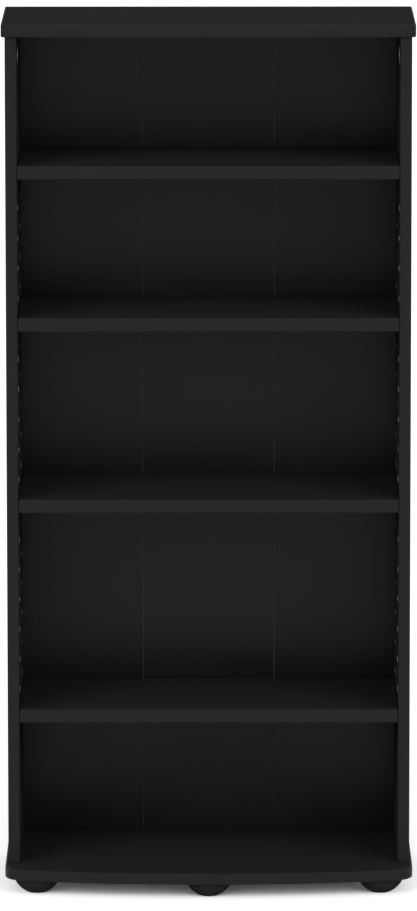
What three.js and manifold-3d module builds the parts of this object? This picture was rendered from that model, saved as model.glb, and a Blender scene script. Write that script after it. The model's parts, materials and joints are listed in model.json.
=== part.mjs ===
// Storage tower for discs: black melamine boards, four loose shelves on pegs, and a folding hardboard back.
// Millimetres, +Z up, the front faces -Y, the floor is Z = 0, and X = 0 halves the tower.

import * as THREE from 'three';
import { mergeVertices } from 'three/addons/utils/BufferGeometryUtils.js';
import Module from 'manifold-3d';

const wasm = await Module();
wasm.setup();

// Side panels and the clear width between them
const INNER_WIDTH = 399;
const SIDE_THICKNESS = 12;
const SIDE_DEPTH = 170;

// Peg holes: two columns on each inner face, all on one pitch
const PEG_PITCH = 32;
const PEG_ROWS = 19;
const FIRST_PEG_HEIGHT = 148;
const PEG_COLUMN_INSET = 37;
const PEG_HOLE_RADIUS = 2.5;
const PEG_HOLE_DEPTH = 8.5;

// Shelves, each on its own row of holes, counted up from the lowest row
const SHELF_ROWS = { shelf_1: 18, shelf_2: 13, shelf_3: 7, shelf_4: 0 };
const SHELF_THICKNESS = 14;
const SHELF_DEPTH = 168;
const SHELF_END_GAP = 0.5;
const SHELF_REST_GAP = 0.3;
const CLEAR_OVER_TOP_SHELF = 134.7;

// Top board
const TOP_WIDTH = 431;
const TOP_THICKNESS = 14;
const TOP_OVERHANG = 10;
const TOP_BOW_RADIUS = 3850;
const TOP_CORNER_RADIUS = 4;

// Base board
const BASE_WIDTH = 429;
const BASE_THICKNESS = 12;
const BASE_OVERHANG = 55;
const BASE_BOW_RADIUS = 1000;
const BASE_CORNER_RADIUS = 24;

// Feet
const FOOT_HEIGHT = 16;
const FOOT_RADIUS = 22.5;
const FOOT_FLAT_RADIUS = 9.5;
const FOOT_DOME_RADIUS = 26;
const FOOT_SPREAD = 181;
const FOOT_SETBACK = 28;
const FOOT_BORE = { head: 4.5, headDepth: 9, shank: 2.2 };

// Back: three leaves and two hinge tapes
const BACK_THICKNESS = 3;
const LEAF_WIDTH = 139.5;
const LEAF_GAP = 0.75;
const BACK_LAP = 9;
const TAPE_WIDTH = 25;
const TAPE_THICKNESS = 0.4;

// Cam joint between a side panel and the top board
const CAM_RADIUS = 9.8;
const CAM_POCKET_RADIUS = 10.1;
const CAM_POCKET_DEPTH = 10;
const CAM_THICKNESS = 9.8;
const CAM_PROUD = 0.3;
const CAM_DROP = 24;
const CAM_SETBACK = 50;
const CAM_SLOT = { from: 2.8, width: 6.4, below: 3 };
const CAM_CROSS = { length: 9, width: 1.8, depth: 1.4 };
const BOLT = { head: 2.4, headLength: 3.5, neck: 1.5, neckLength: 3, shank: 2.6 };
const BOLT_THREAD = { radius: 2.3, length: 10 };
const DOWEL = { radius: 3, length: 30, inTop: 10 };
const DOWEL_SETBACKS = { front: 20, rear: 130 };

// Screws
const BASE_SCREW = { head: 4, headHeight: 3.5, shank: 2, length: 50 };
const BASE_SCREW_SETBACKS = { front: 50, rear: 120 };
const FOOT_SCREW = { head: 3.5, headHeight: 2.6, shank: 1.75, length: 17 };

// Shelf pins: a plug in the hole, a flange against the side panel, and the tongue that the shelf rests on
const PIN = { plug: 2.25, plugLength: 7.5, top: 2.5 };
const PIN_FLANGE = { thickness: 1, width: 8, below: 5 };
const PIN_TONGUE = { thickness: 1.8, width: 7, length: 8 };
const PIN_STANDOFF = 0.1;

// The length of a screw's tip for each millimetre of its shank's radius
const SCREW_TIP_RATIO = 2;

// Play round fitted pieces, and the run-out of a cutter past a face
const PLAY = 0.3;
const RUN_OUT = 2;

// Facets of round pieces, and divisions of the arcs in a board's plan and a foot's profile
const FINE_FACETS = 24;
const SMALL_FACETS = 8;
const PLAN_ARC_DIVISIONS = 6;
const FOOT_ARC_DIVISIONS = 4;

// Places worked out from the sizes above
const BASE_TOP = FOOT_HEIGHT + BASE_THICKNESS;
const PIN_SEAT = PIN.top + SHELF_REST_GAP;
const TOP_SHELF_SURFACE = pegHeight(SHELF_ROWS.shelf_1) + PIN_SEAT + SHELF_THICKNESS;
const SIDE_HEIGHT = TOP_SHELF_SURFACE + CLEAR_OVER_TOP_SHELF;
const TOP_UNDERSIDE = BASE_TOP + SIDE_HEIGHT;
const FRONT_Y = -(SIDE_DEPTH + BACK_THICKNESS + TAPE_THICKNESS - BASE_OVERHANG) / 2;
const REAR_Y = FRONT_Y + SIDE_DEPTH;
const SIDE_MIDDLE_X = (INNER_WIDTH + SIDE_THICKNESS) / 2;
const BACK_BOTTOM = BASE_TOP - BACK_LAP;
const BACK_HEIGHT = SIDE_HEIGHT + 2 * BACK_LAP;
const LEAF_STEP = LEAF_WIDTH + LEAF_GAP;
const CAM_HEIGHT = TOP_UNDERSIDE - CAM_DROP;

// Materials
const melamine = new THREE.MeshStandardMaterial({ color: 0x27282b, roughness: 0.5, metalness: 0 });
const hardboard = new THREE.MeshStandardMaterial({ color: 0x1e1f22, roughness: 0.6, metalness: 0 });
const tape = new THREE.MeshStandardMaterial({ color: 0x959492, roughness: 0.8, metalness: 0 });
const plastic = new THREE.MeshStandardMaterial({ color: 0x17181a, roughness: 0.45, metalness: 0 });
const zinc = new THREE.MeshStandardMaterial({ color: 0xb9bcc0, roughness: 0.4, metalness: 1 });
const steel = new THREE.MeshStandardMaterial({ color: 0x9a9da2, roughness: 0.35, metalness: 1 });
const beech = new THREE.MeshStandardMaterial({ color: 0xc9a878, roughness: 0.7, metalness: 0 });

// The two sides, as signs of X
const SIDES = { left: -1, right: 1 };

// Height of a row of peg holes above the base board's top
function pegHeight(row) {
  return FIRST_PEG_HEIGHT + row * PEG_PITCH;
}

// Solids for cutting
function toSolid(geometry) {
  const bare = geometry.clone();
  bare.deleteAttribute('normal');
  bare.deleteAttribute('uv');
  const welded = mergeVertices(bare);
  return new wasm.Manifold(new wasm.Mesh({
    numProp: 3,
    vertProperties: new Float32Array(welded.attributes.position.array),
    triVerts: new Uint32Array(welded.index.array),
  }));
}

function toGeometry(solid) {
  const result = solid.getMesh();
  const geometry = new THREE.BufferGeometry();
  geometry.setAttribute('position', new THREE.BufferAttribute(result.vertProperties, 3));
  geometry.setIndex(new THREE.BufferAttribute(result.triVerts, 1));
  geometry.computeVertexNormals();
  return geometry;
}

function cut(geometry, cutters) {
  return toGeometry(cutters.reduce((solid, cutter) => solid.subtract(toSolid(cutter)), toSolid(geometry)));
}

function join(geometry, others) {
  return toGeometry(others.reduce((solid, other) => solid.add(toSolid(other)), toSolid(geometry)));
}

// A box from its low and high corner
function block(low, high) {
  const size = high.map((value, axis) => value - low[axis]);
  const middle = high.map((value, axis) => (value + low[axis]) / 2);
  return new THREE.BoxGeometry(...size).translate(...middle);
}

// A turned piece from [radius, height] points, lowest first, along +Z
function turned(points, facets) {
  const profile = points.map(([radius, height]) => new THREE.Vector2(radius, height));
  return new THREE.LatheGeometry(profile, facets).rotateX(Math.PI / 2);
}

// Turns a piece that points along +Z to point along X, towards the given side
function pointToSide(geometry, side) {
  return geometry.rotateY(side * Math.PI / 2);
}

// A round cutter along +Z between two heights, whose flats touch the stated radius
function bore(radius, from, to, facets = SMALL_FACETS) {
  const reach = radius / Math.cos(Math.PI / facets);
  return turned([[0, from], [reach, from], [reach, to], [0, to]], facets);
}

// A headed fastener that points along +Z, with the underside of its head at 0
function headed({ head, headHeight, shank, length }, facets) {
  const tipStart = length - SCREW_TIP_RATIO * shank;
  return turned([
    [0, -headHeight], [head, -headHeight], [head, 0], [shank, 0],
    [shank, tipStart], [0, length],
  ], facets);
}

// Plan of a board with a bowed front and round front corners
function bowedPlan(width, rearY, frontY, bowRadius, cornerRadius) {
  const half = width / 2;
  const cornerX = half - cornerRadius;
  const bowY = frontY + bowRadius;
  const cornerY = bowY - Math.sqrt((bowRadius - cornerRadius) ** 2 - cornerX ** 2);
  const turn = Math.atan2(bowY - cornerY, cornerX);
  const plan = new THREE.Shape();
  plan.moveTo(half, rearY);
  plan.lineTo(-half, rearY);
  plan.lineTo(-half, cornerY);
  plan.absarc(-cornerX, cornerY, cornerRadius, Math.PI, Math.PI + turn, false);
  plan.absarc(0, bowY, bowRadius, Math.PI + turn, 2 * Math.PI - turn, false);
  plan.absarc(cornerX, cornerY, cornerRadius, 2 * Math.PI - turn, 2 * Math.PI, false);
  return plan;
}

function board(plan, thickness) {
  return new THREE.ExtrudeGeometry(plan, {
    depth: thickness, bevelEnabled: false, curveSegments: PLAN_ARC_DIVISIONS,
  });
}

// Feet, and where they stand
function footPlaces() {
  const bowDrop = BASE_BOW_RADIUS - Math.sqrt(BASE_BOW_RADIUS ** 2 - FOOT_SPREAD ** 2);
  const middleY = FRONT_Y - BASE_OVERHANG + FOOT_SETBACK;
  const rearY = REAR_Y - FOOT_SETBACK;
  return {
    front_left: [-FOOT_SPREAD, middleY + bowDrop],
    front_middle: [0, middleY],
    front_right: [FOOT_SPREAD, middleY + bowDrop],
    rear_left: [-FOOT_SPREAD, rearY],
    rear_right: [FOOT_SPREAD, rearY],
  };
}

const FOOT_PLACES = footPlaces();

// A foot: a dome that is part of a sphere, cut flat where it stands, with a stepped bore for its screw
function footGeometry() {
  const domeCenter = Math.sqrt(FOOT_DOME_RADIUS ** 2 - FOOT_FLAT_RADIUS ** 2);
  const from = Math.asin(FOOT_FLAT_RADIUS / FOOT_DOME_RADIUS);
  const to = Math.asin(FOOT_RADIUS / FOOT_DOME_RADIUS);
  const dome = [];
  for (let step = 1; step <= FOOT_ARC_DIVISIONS; step += 1) {
    const angle = from + (to - from) * step / FOOT_ARC_DIVISIONS;
    dome.push([FOOT_DOME_RADIUS * Math.sin(angle), domeCenter - FOOT_DOME_RADIUS * Math.cos(angle)]);
  }
  const { head, headDepth, shank } = FOOT_BORE;
  return turned([
    [head, 0], [FOOT_FLAT_RADIUS, 0], ...dome, [FOOT_RADIUS, FOOT_HEIGHT],
    [shank, FOOT_HEIGHT], [shank, headDepth], [head, headDepth], [head, 0],
  ], FINE_FACETS);
}

// Top board, its underside at z = 0, with blind holes for the cam bolts and the dowels
function topBoardGeometry() {
  const plan = bowedPlan(TOP_WIDTH, REAR_Y, FRONT_Y - TOP_OVERHANG, TOP_BOW_RADIUS, TOP_CORNER_RADIUS);
  const holes = [{ setback: CAM_SETBACK, radius: BOLT_THREAD.radius, depth: BOLT_THREAD.length }];
  for (const setback of Object.values(DOWEL_SETBACKS)) {
    holes.push({ setback, radius: DOWEL.radius, depth: DOWEL.inTop });
  }
  const cutters = Object.values(SIDES).flatMap((side) => holes.map(({ setback, radius, depth }) => (
    bore(radius + PLAY, -RUN_OUT, depth + PLAY).translate(side * SIDE_MIDDLE_X, FRONT_Y + setback, 0)
  )));
  return cut(board(plan, TOP_THICKNESS), cutters);
}

// Base board, its underside at z = 0, with holes for the screws that come from below
function baseBoardGeometry() {
  const plan = bowedPlan(BASE_WIDTH, REAR_Y, FRONT_Y - BASE_OVERHANG, BASE_BOW_RADIUS, BASE_CORNER_RADIUS);
  const holes = [
    { radius: BASE_SCREW.shank, depth: BASE_THICKNESS + RUN_OUT },
    { radius: BASE_SCREW.head, depth: BASE_SCREW.headHeight },
  ];
  const cutters = [];
  for (const side of Object.values(SIDES)) {
    for (const setback of Object.values(BASE_SCREW_SETBACKS)) {
      cutters.push(...holes.map(({ radius, depth }) => (
        bore(radius + PLAY, -RUN_OUT, depth + PLAY).translate(side * SIDE_MIDDLE_X, FRONT_Y + setback, 0)
      )));
    }
  }
  const pilotDepth = FOOT_SCREW.length - (FOOT_HEIGHT - FOOT_BORE.headDepth);
  for (const [x, y] of Object.values(FOOT_PLACES)) {
    cutters.push(bore(FOOT_SCREW.shank + PLAY, -RUN_OUT, pilotDepth + PLAY).translate(x, y, 0));
  }
  return cut(board(plan, BASE_THICKNESS), cutters);
}

// Side panel, from its inner face at x = 0 outwards, its front edge at y = 0 and its foot at z = 0
function sidePanelGeometry(side) {
  const outer = side * SIDE_THICKNESS;
  const middle = outer / 2;
  const panel = block([Math.min(0, outer), 0, 0], [Math.max(0, outer), SIDE_DEPTH, SIDE_HEIGHT]);
  const cutters = [];
  for (let row = 0; row < PEG_ROWS; row += 1) {
    for (const y of [PEG_COLUMN_INSET, SIDE_DEPTH - PEG_COLUMN_INSET]) {
      const pegHole = pointToSide(bore(PEG_HOLE_RADIUS, -RUN_OUT, PEG_HOLE_DEPTH), side);
      cutters.push(pegHole.translate(0, y, pegHeight(row)));
    }
  }
  const camCenter = SIDE_HEIGHT - CAM_DROP;
  const camPocket = pointToSide(bore(CAM_POCKET_RADIUS, -RUN_OUT, CAM_POCKET_DEPTH, FINE_FACETS), side);
  cutters.push(camPocket.translate(0, CAM_SETBACK, camCenter));
  const boltHole = bore(BOLT.shank + PLAY, camCenter, SIDE_HEIGHT + RUN_OUT);
  cutters.push(boltHole.translate(middle, CAM_SETBACK, 0));
  const dowelDepth = DOWEL.length - DOWEL.inTop + PLAY;
  for (const setback of Object.values(DOWEL_SETBACKS)) {
    const dowelHole = bore(DOWEL.radius + PLAY, SIDE_HEIGHT - dowelDepth, SIDE_HEIGHT + RUN_OUT);
    cutters.push(dowelHole.translate(middle, setback, 0));
  }
  const screwDepth = BASE_SCREW.length - (BASE_THICKNESS - BASE_SCREW.headHeight) + PLAY;
  for (const setback of Object.values(BASE_SCREW_SETBACKS)) {
    cutters.push(bore(BASE_SCREW.shank + PLAY, -RUN_OUT, screwDepth).translate(middle, setback, 0));
  }
  return cut(panel, cutters);
}

function shelfGeometry() {
  return new THREE.BoxGeometry(INNER_WIDTH - 2 * SHELF_END_GAP, SHELF_DEPTH, SHELF_THICKNESS);
}

// A cam lock: a disc that points outwards, a little proud, with its bolt's slot and a cross on its face
function camLockGeometry(side) {
  const bottom = CAM_THICKNESS - CAM_PROUD;
  const disc = turned([
    [0, -CAM_PROUD], [CAM_RADIUS, -CAM_PROUD], [CAM_RADIUS, bottom], [0, bottom],
  ], FINE_FACETS);
  const halfSlot = CAM_SLOT.width / 2;
  const slotEnd = bottom + RUN_OUT;
  const slot = block([-CAM_SLOT.below, -halfSlot, CAM_SLOT.from], [CAM_RADIUS + RUN_OUT, halfSlot, slotEnd]);
  const { length, width, depth } = CAM_CROSS;
  const bars = [[length, width], [width, length]].map(([along, across]) => block(
    [-along / 2, -across / 2, -RUN_OUT], [along / 2, across / 2, depth - CAM_PROUD],
  ));
  const upright = side > 0 ? Math.PI : 0;
  return pointToSide(cut(disc, [slot, ...bars]).rotateZ(upright), side);
}

// A cam bolt, head down, with the underside of the top board at z = 0
function camBoltGeometry() {
  const headBottom = -CAM_DROP - BOLT.headLength / 2;
  const headTop = headBottom + BOLT.headLength;
  const neckTop = headTop + BOLT.neckLength;
  return turned([
    [0, headBottom], [BOLT.head, headBottom], [BOLT.head, headTop], [BOLT.neck, headTop],
    [BOLT.neck, neckTop], [BOLT.shank, neckTop], [BOLT.shank, -PLAY], [BOLT_THREAD.radius, -PLAY],
    [BOLT_THREAD.radius, BOLT_THREAD.length], [0, BOLT_THREAD.length],
  ], SMALL_FACETS);
}

// A dowel, with its lower end at z = 0
function dowelGeometry() {
  return turned([[0, 0], [DOWEL.radius, 0], [DOWEL.radius, DOWEL.length], [0, DOWEL.length]], SMALL_FACETS);
}

// A shelf pin, its plug's axis along X, that reaches from the side panel's inner face into the tower
function shelfPinGeometry(side) {
  const inward = -side;
  const plug = pointToSide(turned([
    [0, -PIN.plugLength], [PIN.plug, -PIN.plugLength], [PIN.plug, PIN_STANDOFF], [0, PIN_STANDOFF],
  ], SMALL_FACETS), inward);
  const strip = (from, to, halfWidth, bottom) => block(
    [Math.min(inward * from, inward * to), -halfWidth, bottom],
    [Math.max(inward * from, inward * to), halfWidth, PIN.top],
  );
  const flangeEnd = PIN_STANDOFF + PIN_FLANGE.thickness;
  const flange = strip(PIN_STANDOFF, flangeEnd, PIN_FLANGE.width / 2, -PIN_FLANGE.below);
  const tongueEnd = flangeEnd + PIN_TONGUE.length;
  const tongue = strip(PIN_STANDOFF, tongueEnd, PIN_TONGUE.width / 2, PIN.top - PIN_TONGUE.thickness);
  return join(plug, [flange, tongue]);
}

const tower = new THREE.Group();

function add(name, geometry, material, x = 0, y = 0, z = 0) {
  const mesh = new THREE.Mesh(geometry, material);
  mesh.name = name;
  mesh.position.set(x, y, z);
  tower.add(mesh);
}

// Boards
add('top_board', topBoardGeometry(), melamine, 0, 0, TOP_UNDERSIDE);
add('base_board', baseBoardGeometry(), melamine, 0, 0, FOOT_HEIGHT);
for (const [name, side] of Object.entries(SIDES)) {
  add(`side_panel_${name}`, sidePanelGeometry(side), melamine, side * INNER_WIDTH / 2, FRONT_Y, BASE_TOP);
}

// Shelves and their pins
for (const [name, row] of Object.entries(SHELF_ROWS)) {
  const pinHeight = BASE_TOP + pegHeight(row);
  const middle = pinHeight + PIN_SEAT + SHELF_THICKNESS / 2;
  add(name, shelfGeometry(), melamine, 0, FRONT_Y + SHELF_DEPTH / 2, middle);
  for (const [sideName, side] of Object.entries(SIDES)) {
    const place = side * INNER_WIDTH / 2;
    const pin = `${name}_pin_${sideName}`;
    add(`${pin}_front`, shelfPinGeometry(side), plastic, place, FRONT_Y + PEG_COLUMN_INSET, pinHeight);
    add(`${pin}_rear`, shelfPinGeometry(side), plastic, place, REAR_Y - PEG_COLUMN_INSET, pinHeight);
  }
}

// Back leaves and hinge tapes
const backMiddle = BACK_BOTTOM + BACK_HEIGHT / 2;
for (const [name, x] of Object.entries({ left: -LEAF_STEP, middle: 0, right: LEAF_STEP })) {
  const leaf = new THREE.BoxGeometry(LEAF_WIDTH, BACK_THICKNESS, BACK_HEIGHT);
  add(`back_leaf_${name}`, leaf, hardboard, x, REAR_Y + BACK_THICKNESS / 2, backMiddle);
}
for (const [name, side] of Object.entries(SIDES)) {
  const strip = new THREE.BoxGeometry(TAPE_WIDTH, TAPE_THICKNESS, BACK_HEIGHT);
  const tapeY = REAR_Y + BACK_THICKNESS + TAPE_THICKNESS / 2;
  add(`back_hinge_tape_${name}`, strip, tape, side * LEAF_STEP / 2, tapeY, backMiddle);
}

// Cam locks, cam bolts, dowels and the base board's screws at each side panel
const dowelBottom = TOP_UNDERSIDE + DOWEL.inTop - DOWEL.length;
const baseScrewSeat = FOOT_HEIGHT + BASE_SCREW.headHeight;
for (const [name, side] of Object.entries(SIDES)) {
  const middleX = side * SIDE_MIDDLE_X;
  const camY = FRONT_Y + CAM_SETBACK;
  add(`cam_lock_${name}`, camLockGeometry(side), zinc, side * INNER_WIDTH / 2, camY, CAM_HEIGHT);
  add(`cam_bolt_${name}`, camBoltGeometry(), steel, middleX, camY, TOP_UNDERSIDE);
  for (const [end, setback] of Object.entries(DOWEL_SETBACKS)) {
    add(`top_dowel_${name}_${end}`, dowelGeometry(), beech, middleX, FRONT_Y + setback, dowelBottom);
  }
  for (const [end, setback] of Object.entries(BASE_SCREW_SETBACKS)) {
    const screw = headed(BASE_SCREW, SMALL_FACETS);
    add(`base_screw_${name}_${end}`, screw, steel, middleX, FRONT_Y + setback, baseScrewSeat);
  }
}

// Feet and their screws
for (const [name, [x, y]] of Object.entries(FOOT_PLACES)) {
  add(`foot_${name}`, footGeometry(), plastic, x, y, 0);
  add(`foot_screw_${name}`, headed(FOOT_SCREW, SMALL_FACETS), steel, x, y, FOOT_BORE.headDepth);
}

export default tower;
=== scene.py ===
"""Looks of a disc storage tower: black melamine boards, loose shelves and a folding hardboard back."""

import json
import math

import bmesh
import bpy
from mathutils import Matrix, Vector

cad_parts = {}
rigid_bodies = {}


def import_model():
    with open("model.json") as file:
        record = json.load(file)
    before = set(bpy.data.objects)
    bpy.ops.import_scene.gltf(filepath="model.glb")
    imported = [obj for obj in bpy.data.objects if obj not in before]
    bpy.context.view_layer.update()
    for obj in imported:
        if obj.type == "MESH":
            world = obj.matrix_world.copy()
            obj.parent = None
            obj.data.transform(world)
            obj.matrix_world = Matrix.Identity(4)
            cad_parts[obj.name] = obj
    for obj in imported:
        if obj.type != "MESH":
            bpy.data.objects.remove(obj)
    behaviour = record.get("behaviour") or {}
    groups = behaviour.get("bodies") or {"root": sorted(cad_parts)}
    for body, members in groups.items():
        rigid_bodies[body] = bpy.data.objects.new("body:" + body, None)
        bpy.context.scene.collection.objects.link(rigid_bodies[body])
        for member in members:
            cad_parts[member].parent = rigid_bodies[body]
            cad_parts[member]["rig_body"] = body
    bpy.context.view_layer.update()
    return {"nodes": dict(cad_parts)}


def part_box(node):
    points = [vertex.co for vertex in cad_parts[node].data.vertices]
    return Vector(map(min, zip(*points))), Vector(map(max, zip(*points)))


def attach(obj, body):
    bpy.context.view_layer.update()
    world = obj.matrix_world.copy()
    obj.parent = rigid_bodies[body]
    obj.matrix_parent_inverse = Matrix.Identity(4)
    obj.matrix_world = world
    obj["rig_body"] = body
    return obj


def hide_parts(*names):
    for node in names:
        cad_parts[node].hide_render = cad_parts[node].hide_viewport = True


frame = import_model()

MM = 0.001

# Boards
ARRIS = 0.6 * MM
ARRIS_STEPS = 3
BOARD_CORNER = 0.8 * MM
BOWED_ARRIS = 1.6 * MM
BOWED_CORNER = 2 * MM
TOP_BOW_RADIUS = 3850 * MM
TOP_CORNER_RADIUS = 4 * MM
BASE_BOW_RADIUS = 1000 * MM
BASE_CORNER_RADIUS = 24 * MM
PLAN_BOW_STEPS, PLAN_CORNER_STEPS, REAR_CORNER_STEPS = 72, 16, 3

# How far a cutter reaches past the face that it cuts
OVERCUT = 1 * MM

# How far a face has to turn towards a side to get that side's finish
TOWARDS_BAND = 0.05
TOWARDS_FACE = 0.35
TOWARDS_FRONT = 0.2

# Peg holes, and the width and height of the foil's torn edge round them
PEG_PITCH = 32 * MM
PEG_ROWS = 19
FIRST_PEG_HEIGHT = 148 * MM
PEG_COLUMN_INSET = 37 * MM
PEG_HOLE_RADIUS = 2.5 * MM
PEG_HOLE_DEPTH = 8.5 * MM
PEG_HOLE_POINT = 0.75 * MM
HOLE_CHAMFER = 0.15 * MM
FRONT_TORN_RIM = (0.6 * MM, 0.2 * MM)
REAR_TORN_RIM = (0.35 * MM, 0.08 * MM)
# Profile of that edge: its root in the board, its foot and lip off the hole, and by its width and
# height the lip's height, the crest's place, and the place and height of the slope behind it
RIM_ROOT = 0.1 * MM
RIM_FOOT, RIM_LIP = 0.02 * MM, 0.05 * MM
RIM_LIP_HEIGHT = 0.8
RIM_CREST_PLACE = 0.3
RIM_SLOPE_PLACE, RIM_SLOPE_HEIGHT = 0.7, 0.5

# Fittings
CAM_SETBACK = 50 * MM
CAM_DROP = 24 * MM
CAM_POCKET_RADIUS = 10.1 * MM
CAM_POCKET_DEPTH = 10 * MM
CAM_RADIUS = 9.8 * MM
CAM_PROUD = 0.3 * MM
CAM_THICKNESS = 9.8 * MM
CAM_RIM_WIDTH = 1.2 * MM
CAM_DISH = 0.35 * MM
CAM_CROSS = (9 * MM, 1.8 * MM, 1.4 * MM)
CAM_ARROW_LENGTH = 2.4 * MM
CAM_ARROW_GAP = 0.6 * MM
CAM_BEVEL = 0.25 * MM
CAM_SLOT_WIDTH = 6.4 * MM
CAM_SLOT_FROM = 2.8 * MM
CAM_SLOT_BELOW = 3 * MM
BOLT_HEAD_RADIUS, BOLT_HEAD_LENGTH = 2.4 * MM, 3.5 * MM
BOLT_NECK_RADIUS, BOLT_NECK_LENGTH = 1.5 * MM, 3 * MM
BOLT_SHANK_RADIUS = 2.6 * MM
BOLT_THREAD_RADIUS, BOLT_THREAD_LENGTH = 2.3 * MM, 10 * MM
BOLT_ROOT_RATIO = 0.75
BOLT_BEVEL = 0.4 * MM
BOLT_PLAIN_TIP = 1 * MM
DOWEL_RADIUS, DOWEL_LENGTH = 3 * MM, 30 * MM
DOWEL_FLUTES = 14
DOWEL_FLUTE_FACETS = 8
DOWEL_FLUTE_DEPTH = 0.25 * MM
DOWEL_CHAMFER = 0.8 * MM
BASE_SCREW_HEAD, BASE_SCREW_HEAD_HEIGHT = 4 * MM, 3.5 * MM
BASE_SCREW_SHANK, BASE_SCREW_LENGTH = 2 * MM, 50 * MM
FOOT_SCREW_HEAD, FOOT_SCREW_HEAD_HEIGHT = 3.5 * MM, 2.6 * MM
FOOT_SCREW_SHANK, FOOT_SCREW_LENGTH = 1.75 * MM, 17 * MM
SCREW_TIP_RATIO = 2
SCREW_ROOT_RATIO = 0.7
SCREW_HEAD_EDGE = 0.3 * MM
SCREW_PLAIN_LENGTH = 2 * MM
# A screw's cross recess: its length and width by the head's radius, its depth by the head's height
SCREW_CROSS_RATIOS = (1.1, 0.22, 0.6)
THREAD_PITCH = 2 * MM
# Rows of the mesh in one pitch, and how fast a thread's flanks fall from its crest
THREAD_ROWS = 6
THREAD_STEEPNESS = 3
FIT_PLAY = 0.3 * MM
# Play round a countersunk head, and the height of the sink's upright mouth
SINK_PLAY = 0.1 * MM
SINK_LAND = 0.3 * MM

# Shelf pins
PIN_PLUG_RADIUS, PIN_PLUG_LENGTH = 2.25 * MM, 7.5 * MM
PIN_TOP = 2.5 * MM
PIN_FLANGE_THICKNESS, PIN_FLANGE_WIDTH, PIN_FLANGE_BELOW = 1 * MM, 8 * MM, 5 * MM
PIN_TONGUE_THICKNESS, PIN_TONGUE_WIDTH, PIN_TONGUE_LENGTH = 1.8 * MM, 7 * MM, 8 * MM
PIN_STANDOFF = 0.1 * MM
PIN_ARRIS = 0.3 * MM
PIN_GROOVE = 0.2 * MM
PIN_TIP_RATIO, PIN_TIP_LENGTH = 0.6, 1 * MM
PIN_RIDGES = 3
PIN_FIRST_RIDGE, PIN_RIDGE_PITCH = 1.2 * MM, 1.9 * MM
PIN_RIDGE_RISE, PIN_RIDGE_LENGTH = 0.6 * MM, 1.2 * MM
PIN_FLANGE_CORNER, PIN_TONGUE_CORNER, PIN_CORNER_STEPS = 1 * MM, 1.2 * MM, 4

# Back
LEAF_ARRIS = 0.25 * MM
LEAF_CORNER = 0.3 * MM
TAPE_ARRIS = 0.1 * MM
TAPE_RIDGE_WIDTH = 0.45 * MM
TAPE_RIDGE_CORNER = 0.15 * MM
# How far a ridge stops short of the step between its two parts, and of the tape's ends
TAPE_RIDGE_STEP = 0.5 * MM
TAPE_RIDGE_END = 1 * MM
# How far behind the leaves' front the tapes' ridges lie, above and below the lowest shelf
TAPE_RIDGE_BEHIND = 1.2 * MM
TAPE_RIDGE_BEHIND_LOW = 1.6 * MM
NAIL_HEAD_RADIUS = 1.5 * MM
NAIL_SHANK_RADIUS = 0.65 * MM
NAIL_LENGTH = 20 * MM
NAIL_POINT = 2 * MM
NAIL_HEAD_EDGE = 0.3 * NAIL_HEAD_RADIUS
NAIL_PROUD = 0.35 * MM
# A nail's flat head: the heights of its edge and its shoulder by its own height
NAIL_EDGE_RATIO, NAIL_SHOULDER_RATIO = 0.5, 0.9
NAIL_EDGE_DISTANCE = 4.5 * MM
NAIL_SPACING = 95 * MM
# Places of the nails along a leaf's top and bottom edges, by its width
NAIL_SHARES = (0.3, 0.7)

# Feet
FOOT_FLAT_RADIUS = 9.5 * MM
FOOT_DOME_RADIUS = 26 * MM
FOOT_EDGE = 0.5 * MM
FOOT_BORE_RADIUS = 4.5 * MM
FOOT_BORE_DEPTH = 9 * MM
FOOT_SHANK_RADIUS = 2.2 * MM
FOOT_DOME_STEPS = 16

# Facets
FINE = 64
MEDIUM = 32
COARSE = 16
SHARP_ANGLE = math.radians(38)

# Patterns in the materials
SCREEN_PITCH = 1.6 * MM
WEAVE_PITCH = 0.9 * MM

# Stage and camera
FLOOR_REACH = 150
FLOOR_COLOR = (0.95, 0.95, 0.95, 1)
FLOOR_LIFT = 0.4
# Painted contact shadow: the floor's ambient occlusion takes its white lift away near the object; how far it
# looks, and where the floor counts as shut in and as free
PAINTED_SHADOW_REACH = 120 * MM
PAINTED_SHADOW_SAMPLES = 32
PAINTED_SHADOW_SHUT, PAINTED_SHADOW_FREE = 0.015, 0.12
AMBIENT = 0.5
# Where the light of each sun comes from
SUNS = {"front_left": (-0.7, -0.9, 0.6), "front_right": (0.7, -0.9, 0.6)}
SUN_SOFTNESS = math.radians(40)
SUN_STRENGTH = 1.2
SENSOR_SIZE_MM = 36
LENS_MM = 299.9
CAMERA_DISTANCE = 8.0
CAMERA_ELEVATION = math.radians(9.5)
CAMERA_ROLL = math.radians(-0.03)
CAMERA_TARGET = Vector((-0.0001, 0.0, 0.4539))


# ---------- Materials ----------

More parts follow.
